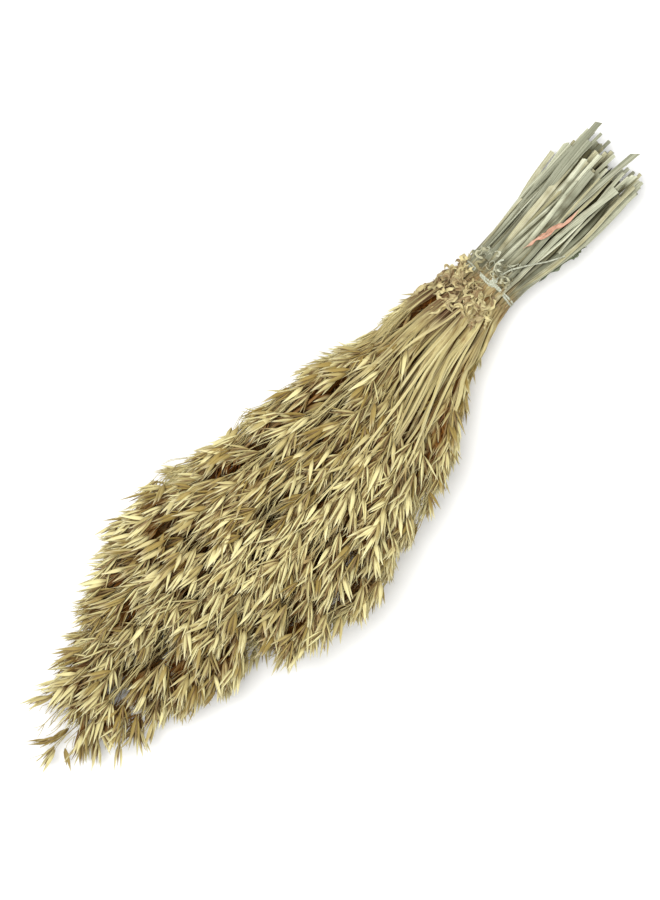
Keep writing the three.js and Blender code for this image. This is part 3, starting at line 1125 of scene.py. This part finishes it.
class OatSettings(bpy.types.PropertyGroup):
    """Sizes and colours of the bundle."""

    husk_length: length_setting("Husk length", "Length of one husk", 23.5 * MM)
    husk_width: length_setting("Husk width", "Width of one husk", 4.0 * MM)
    cord_diameter: length_setting("Cord diameter", "Thickness of the tie", 1.8 * MM)
    filling_stalks: bpy.props.IntProperty(
        name="Filling stalks", description="Stalks between those of the frame", default=67, min=0
    )
    gaps: bpy.props.FloatProperty(
        name="Gaps", description="Lower values leave more gaps in the heads", default=0.18
    )
    seed: bpy.props.IntProperty(name="Seed", description="Picks another growth", default=7)
    straw_dark: colour_setting("Dark straw", "Straw of the darkest stalks", (0.25, 0.19, 0.06))
    straw_light: colour_setting("Light straw", "Straw of the lightest stalks", (0.58, 0.50, 0.23))
    straw_pale: colour_setting("Pale vein", "Veins of stems and leaves", (0.70, 0.65, 0.39))
    # Brown blotch is weathered spots, and also the painted shade under the loose scraps past the
    # tie.
    straw_brown: colour_setting("Brown blotch", "Weathered spots", (0.12, 0.062, 0.032))
    # Dark sage is also the painted shade on the cut stems near the tie.
    sage_dark: colour_setting("Dark sage", "Darkest cut stems", (0.115, 0.12, 0.075))
    sage_light: colour_setting("Light sage", "Lightest cut stems", (0.46, 0.48, 0.34))
    sage_shade: colour_setting("Sage shade", "Shade between the cut stems", (0.24, 0.21, 0.13))
    sage_cream: colour_setting("Cream", "Bleached parts of cut stems", (0.74, 0.73, 0.56))
    husk_dark: colour_setting("Dark husk", "Darkest husks", (0.28, 0.20, 0.058))
    husk_light: colour_setting("Light husk", "Lightest husks", (0.67, 0.61, 0.31))
    husk_pale: colour_setting("Husk tip", "Bleached husk tips", (0.80, 0.77, 0.57))
    husk_vein: colour_setting("Husk vein", "Fine veins of the husks", (0.44, 0.36, 0.13))
    husk_base: colour_setting("Husk base", "Brown husk bases", (0.22, 0.15, 0.045))
    husk_brown: colour_setting("Husk patch", "Weathered patches of husks", (0.27, 0.18, 0.055))
    grain_brown: colour_setting("Grain", "The grain between the husks", (0.24, 0.165, 0.075))
    # Inner shade is painted shade, multiplied into the colours where much of the bundle covers a
    # place.
    inner_shade: colour_setting("Inner shade", "Dust and shade inside", (0.33, 0.14, 0.035))
    cord_dark: colour_setting("Dark cord", "Shaded fibres of the tie", (0.27, 0.27, 0.19))
    cord_light: colour_setting("Light cord", "Bright fibres of the tie", (0.54, 0.56, 0.45))
    scrap_dark: colour_setting("Dark scrap", "Shaded folds of scraps", (0.19, 0.115, 0.05))
    scrap_light: colour_setting("Light scrap", "Bright parts of scraps", (0.58, 0.50, 0.25))
    pink_dark: colour_setting("Dark pink", "Dark part of the pink strip", (0.34, 0.15, 0.09))
    pink_light: colour_setting("Light pink", "Light part of the pink strip", (0.58, 0.28, 0.19))
    green_dark: colour_setting("Dark green", "Dark part of the curled leaf", (0.05, 0.065, 0.035))
    green_light: colour_setting("Light green", "Light part of the curled leaf", (0.22, 0.26, 0.16))


# ------------------------------------------------------------------ operators


def filling_layer(pair):
    """Pairs of stalks on the upper side and the flanks come first."""
    across, up = FORM.place_share((FORM.places[pair[0]] + FORM.places[pair[1]]) / 2)
    return -int(5 * max(up, abs(across) + 0.1 if up > -0.4 else 0))


def filling_reach(across, outer, rng):
    """How far past the tie a filling stalk goes. None leaves it as long as its neighbours."""
    if not outer:
        return rng.uniform(180, 400) * MM
    if across > 0.25:
        return rng.choice((rng.uniform(170, 260) * MM, rng.uniform(180, 300) * MM, None))
    if across < -0.5:
        return rng.uniform(200, 320) * MM
    return rng.choice((rng.uniform(265, 340) * MM, rng.uniform(280, 380) * MM, None))


class Growth:
    """Everything that the operators share, grown once: all the stalks and what covers what."""

    def __init__(self, settings):
        self.settings = settings
        self.patterns = Patterns(settings)
        self.materials = [make_straw(settings), make_husk(settings)]
        self.stalks = {
            node: grow_stalk(FORM.lines[node], self.patterns, settings, number)
            for number, node in enumerate(STALK_NODES)
        }
        rng = random.Random(settings.seed)
        pairs = FORM.neighbours()
        rng.shuffle(pairs)
        pairs.sort(key=filling_layer)
        outer = settings.filling_stalks * 3 // 5
        pairs = pairs[:outer] + pairs[-(settings.filling_stalks - outer):]
        self.filling = []
        for number, pair in enumerate(pairs):
            across, up = FORM.place_share((FORM.places[pair[0]] + FORM.places[pair[1]]) / 2)
            line = FORM.between(*pair, 7 * MM if up > 0.3 else 0.0)
            reach = filling_reach(across, number < outer, rng)
            stalk = grow_stalk(line, self.patterns, settings, FIRST_FILLING + number, reach)
            self.filling.append(stalk)
        self.cover = Cover([*self.stalks.values(), *self.filling])


GROWN = []


def growth():
    if not GROWN:
        GROWN.append(Growth(bpy.context.scene.oat_bundle))
    return GROWN[0]


def make_piece(parts, name, materials, node=None, shaded=True):
    """The gathered parts as one piece, which may stand in for a frame node."""
    if shaded:
        parts.shade(growth().cover)
    piece = parts.build(name, materials)
    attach(piece, "root")
    if node:
        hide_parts(node)


class OATS_OT_stage(bpy.types.Operator):
    """Pale floor, soft studio lights and a camera that looks down on the bundle"""

    bl_idname = "oats.stage"
    bl_label = "Studio"

    def execute(self, context):
        scene = context.scene
        middle = (LOWEST + HIGHEST) / 2
        deselect_all()
        bpy.ops.mesh.primitive_plane_add(size=6, location=(0, 0, 0))
        floor = context.object
        floor.name = "studio_floor"
        paper = Shader("studio_paper")
        paper.feed(paper.surface.inputs["Base Color"], (0.93, 0.93, 0.92))
        paper.feed(paper.surface.inputs["Roughness"], 0.9)
        floor.data.materials.append(paper.material)

        lamps = (
            ("key_light", (-0.14, 0.34, 1.7), 1.1, 35),
            ("fill_light", (0.7, -1.0, 1.3), 1.2, 9),
        )
        for name, place, size, power in lamps:
            data = bpy.data.lights.new(name, "AREA")
            data.shape = "DISK"
            data.size = size
            data.energy = power
            lamp = bpy.data.objects.new(name, data)
            lamp.location = place
            aim = Vector(middle.tolist()) - Vector(place)
            lamp.rotation_euler = aim.to_track_quat("-Z", "Y").to_euler()
            scene.collection.objects.link(lamp)

        world = bpy.data.worlds.new("studio_air")
        world.use_nodes = True
        world.node_tree.nodes["Background"].inputs["Color"].default_value = (1, 1, 1, 1)
        world.node_tree.nodes["Background"].inputs["Strength"].default_value = 0.46
        scene.world = world
        scene.view_settings.view_transform = "Standard"

        lens = 85.0
        frame_height = 0.747
        data = bpy.data.cameras.new("camera")
        data.lens = lens
        data.clip_end = 20
        camera = bpy.data.objects.new("camera", data)
        turn = -math.radians(45.6)
        above = frame_height * lens / data.sensor_width
        aside = np.array([-5.9, 11.8, 0]) * MM
        camera.location = middle + aside + above * UP
        camera.rotation_euler = (0, 0, turn)
        scene.collection.objects.link(camera)
        scene.camera = camera
        return {"FINISHED"}


class OATS_OT_stalks(bpy.types.Operator):
    """The stalks that stand for those of the frame, one piece each"""

    bl_idname = "oats.stalks"
    bl_label = "Stalks"

    def execute(self, context):
        for node, parts in growth().stalks.items():
            name = node.replace("oat_stalk", "stalk")
            make_piece(parts, name, growth().materials, node)
        return {"FINISHED"}


class OATS_OT_filling_stalks(bpy.types.Operator):
    """More stalks, between those of the frame"""

    bl_idname = "oats.filling_stalks"
    bl_label = "Filling stalks"

    def execute(self, context):
        for number, parts in enumerate(growth().filling, 1):
            make_piece(parts, f"filling_stalk_{number:02d}", growth().materials)
        return {"FINISHED"}


class OATS_OT_tie(bpy.types.Operator):
    """Thin twisted cord, wound twice round the stems and knotted"""

    bl_idname = "oats.tie"
    bl_label = "Tie"

    def execute(self, context):
        settings = growth().settings
        rng = random.Random(settings.seed + 31)
        radius = settings.cord_diameter / 2
        strand = model_tube(12, 240, lobes=3)
        hair = model_tube(3, 4)
        parts = Gathering()
        lift = 1.5 * MM
        knot_angle = 96
        winding = []
        for step in range(65):
            turns = step / 32
            distance = (turns - 1) * 1.12 * settings.cord_diameter + 0.3 * MM * math.sin(step * 0.9)
            winding.append(FORM.round_tie(distance, knot_angle + 360 * turns, lift))
        knot_middle = FORM.round_tie(-1.5 * MM, knot_angle, lift + 1.6 * MM)
        knot = []
        for step in range(25):
            turn = 2 * math.pi * step / 24
            spread = (2.0 + 1.0 * math.cos(3 * turn)) * MM
            knot.append(knot_middle + np.array([
                spread * math.cos(2 * turn) * 1.25,
                spread * math.sin(2 * turn),
                1.0 * MM * math.sin(3 * turn),
            ]))
        long_tail = [knot_middle + np.array([0, 0, 0.8 * MM])]
        for distance, angle, up in ((-9, 97, 4.6), (-20, 101, 5.6), (-33, 113, 5.0),
                                    (-46, 128, 4.5), (-60, 141, 4.8)):
            long_tail.append(FORM.round_tie(distance * MM, angle, up * MM))
        short_tail = [knot_middle + np.array([0, 0, 0.6 * MM])]
        for distance, angle, up in ((-5, 88, 5.5), (-10, 80, 6.8), (-17, 78, 5.6), (-21, 82, 5.2)):
            short_tail.append(FORM.round_tie(distance * MM, angle, up * MM))
        for places, share, fibres in ((winding, 1.0, 70), (knot, 1.0, 10),
                                      (long_tail, 0.72, 20), (short_tail, 0.9, 10)):
            line = draw_cord(parts, strand, places, radius * share, rng)
            fray(parts, hair, line, radius * share, fibres, rng)
        make_piece(parts, "cord", [make_cord(settings)], "tie_cord", shaded=False)
        return {"FINISHED"}


class OATS_OT_loose_leaves(bpy.types.Operator):
    """Loose bits of dry leaf caught in the bundle"""

    bl_idname = "oats.loose_leaves"
    bl_label = "Loose leaves"

    def execute(self, context):
        settings = growth().settings
        tube = growth().patterns.scrap
        rng = random.Random(settings.seed + 57)

        pink = make_loose_leaf("pink_leaf", settings.pink_dark, settings.pink_light,
                               settings.sage_cream)
        parts = Gathering()
        strip = leaf_route("pink_leaf_strip") + np.array([0, 0, 0.8 * MM])
        strip[0] += np.array([9, 1, 1]) * MM
        draw_scrap(parts, tube, strip, 3.0 * MM, 0.14, rng, 0.6)
        torn_off = strip[1:5] + np.array([0, 1.4, 0.5]) * MM
        draw_scrap(parts, tube, torn_off, 2.6 * MM, 0.3, rng, 0.3)
        make_piece(parts, "torn_pink_strip", [pink], "pink_leaf_strip")

        green = make_loose_leaf("green_leaf", settings.green_dark, settings.green_light,
                                settings.sage_light)
        parts = Gathering()
        curls = ((5.5, -30, -74, 158), (4.0, -52, -80, 163), (3.0, -34, -58, 152))
        for wide, first, last, angle in curls:
            places = [
                FORM.round_tie(distance * MM, angle + rng.gauss(0, 2), rng.uniform(1.5, 4.0) * MM)
                for distance in np.linspace(first, last, 6)
            ]
            draw_scrap(parts, tube, places, wide * MM, 0.45, rng, 0.4, turn=-0.9)
        make_piece(parts, "dark_curl", [green], "curled_leaf")

        brown = make_loose_leaf("dry_scrap", settings.scrap_dark, settings.scrap_light,
                                settings.straw_pale)
        for number, (angle, start) in enumerate(((46, -3), (72, -2), (98, 3))):
            parts = Gathering()
            for _ in range(24):
                places = self.crumpled(start, angle, rng)
                draw_scrap(parts, tube, places, rng.uniform(2, 5) * MM, rng.uniform(0.4, 0.9), rng,
                           rng.random(), rng.uniform(-1.4, 1.4))
            node = f"leaf_scrap_{number + 1:02d}"
            make_piece(parts, f"dry_scraps_{number + 1:02d}", [brown], node)

        parts = Gathering()
        for _ in range(30):
            places = self.curl(rng)
            wide = rng.uniform(0.9, 3.0) * MM
            draw_scrap(parts, tube, places, wide, 0.8, rng, rng.uniform(0, 1.0))
        make_piece(parts, "frayed_sheaths", growth().materials[:1])
        return {"FINISHED"}

    @staticmethod
    def crumpled(start, angle, rng):
        """A short wandering route on the stems, just past the tie."""
        distance = start + rng.triangular(-2, 38, 3)
        angle = angle + rng.gauss(0, 13)
        places = []
        heading = rng.gauss(0, 0.7)
        for _ in range(5):
            places.append(FORM.round_tie(distance * MM, angle, rng.uniform(0.5, 5.5) * MM))
            distance += 5.5 * math.cos(heading)
            angle += 7.0 * math.sin(heading)
            heading += rng.gauss(0, 0.6)
        return places

    @staticmethod
    def curl(rng):
        """A small loop of frayed sheath on the cut side of the tie."""
        distance = -rng.uniform(5, 22)
        angle = rng.choice((rng.gauss(60, 12), rng.gauss(100, 10)))
        size = rng.uniform(2, 6)
        phase = rng.uniform(0, 6.28)
        places = []
        for step in range(6):
            around = phase + step * rng.uniform(0.5, 1.0)
            places.append(FORM.round_tie(
                (distance + size * math.cos(around)) * MM,
                angle + 2.4 * size * math.sin(around),
                (0.5 + 0.8 * step + rng.uniform(-0.6, 0.6)) * MM,
            ))
        return places


class OATS_PT_panel(bpy.types.Panel):
    """Lists the pieces of the bundle"""

    bl_label = "Oats"
    bl_idname = "OATS_PT_panel"
    bl_space_type = "VIEW_3D"
    bl_region_type = "UI"
    bl_category = "Oats"

    def draw(self, context):
        for operator in OPERATORS:
            self.layout.operator(operator.bl_idname)
        for name in OatSettings.__annotations__:
            self.layout.prop(context.scene.oat_bundle, name)


OPERATORS = (
    OATS_OT_stage,
    OATS_OT_stalks,
    OATS_OT_filling_stalks,
    OATS_OT_tie,
    OATS_OT_loose_leaves,
)
CLASSES = (OatSettings, *OPERATORS, OATS_PT_panel)


def register():
    for entry in CLASSES:
        bpy.utils.register_class(entry)
    bpy.types.Scene.oat_bundle = bpy.props.PointerProperty(type=OatSettings)


def unregister():
    del bpy.types.Scene.oat_bundle
    for entry in reversed(CLASSES):
        bpy.utils.unregister_class(entry)


def main():
    register()
    bpy.ops.oats.stage()
    bpy.ops.oats.stalks()
    bpy.ops.oats.filling_stalks()
    bpy.ops.oats.tie()
    bpy.ops.oats.loose_leaves()


if __name__ == "__main__":
    main()
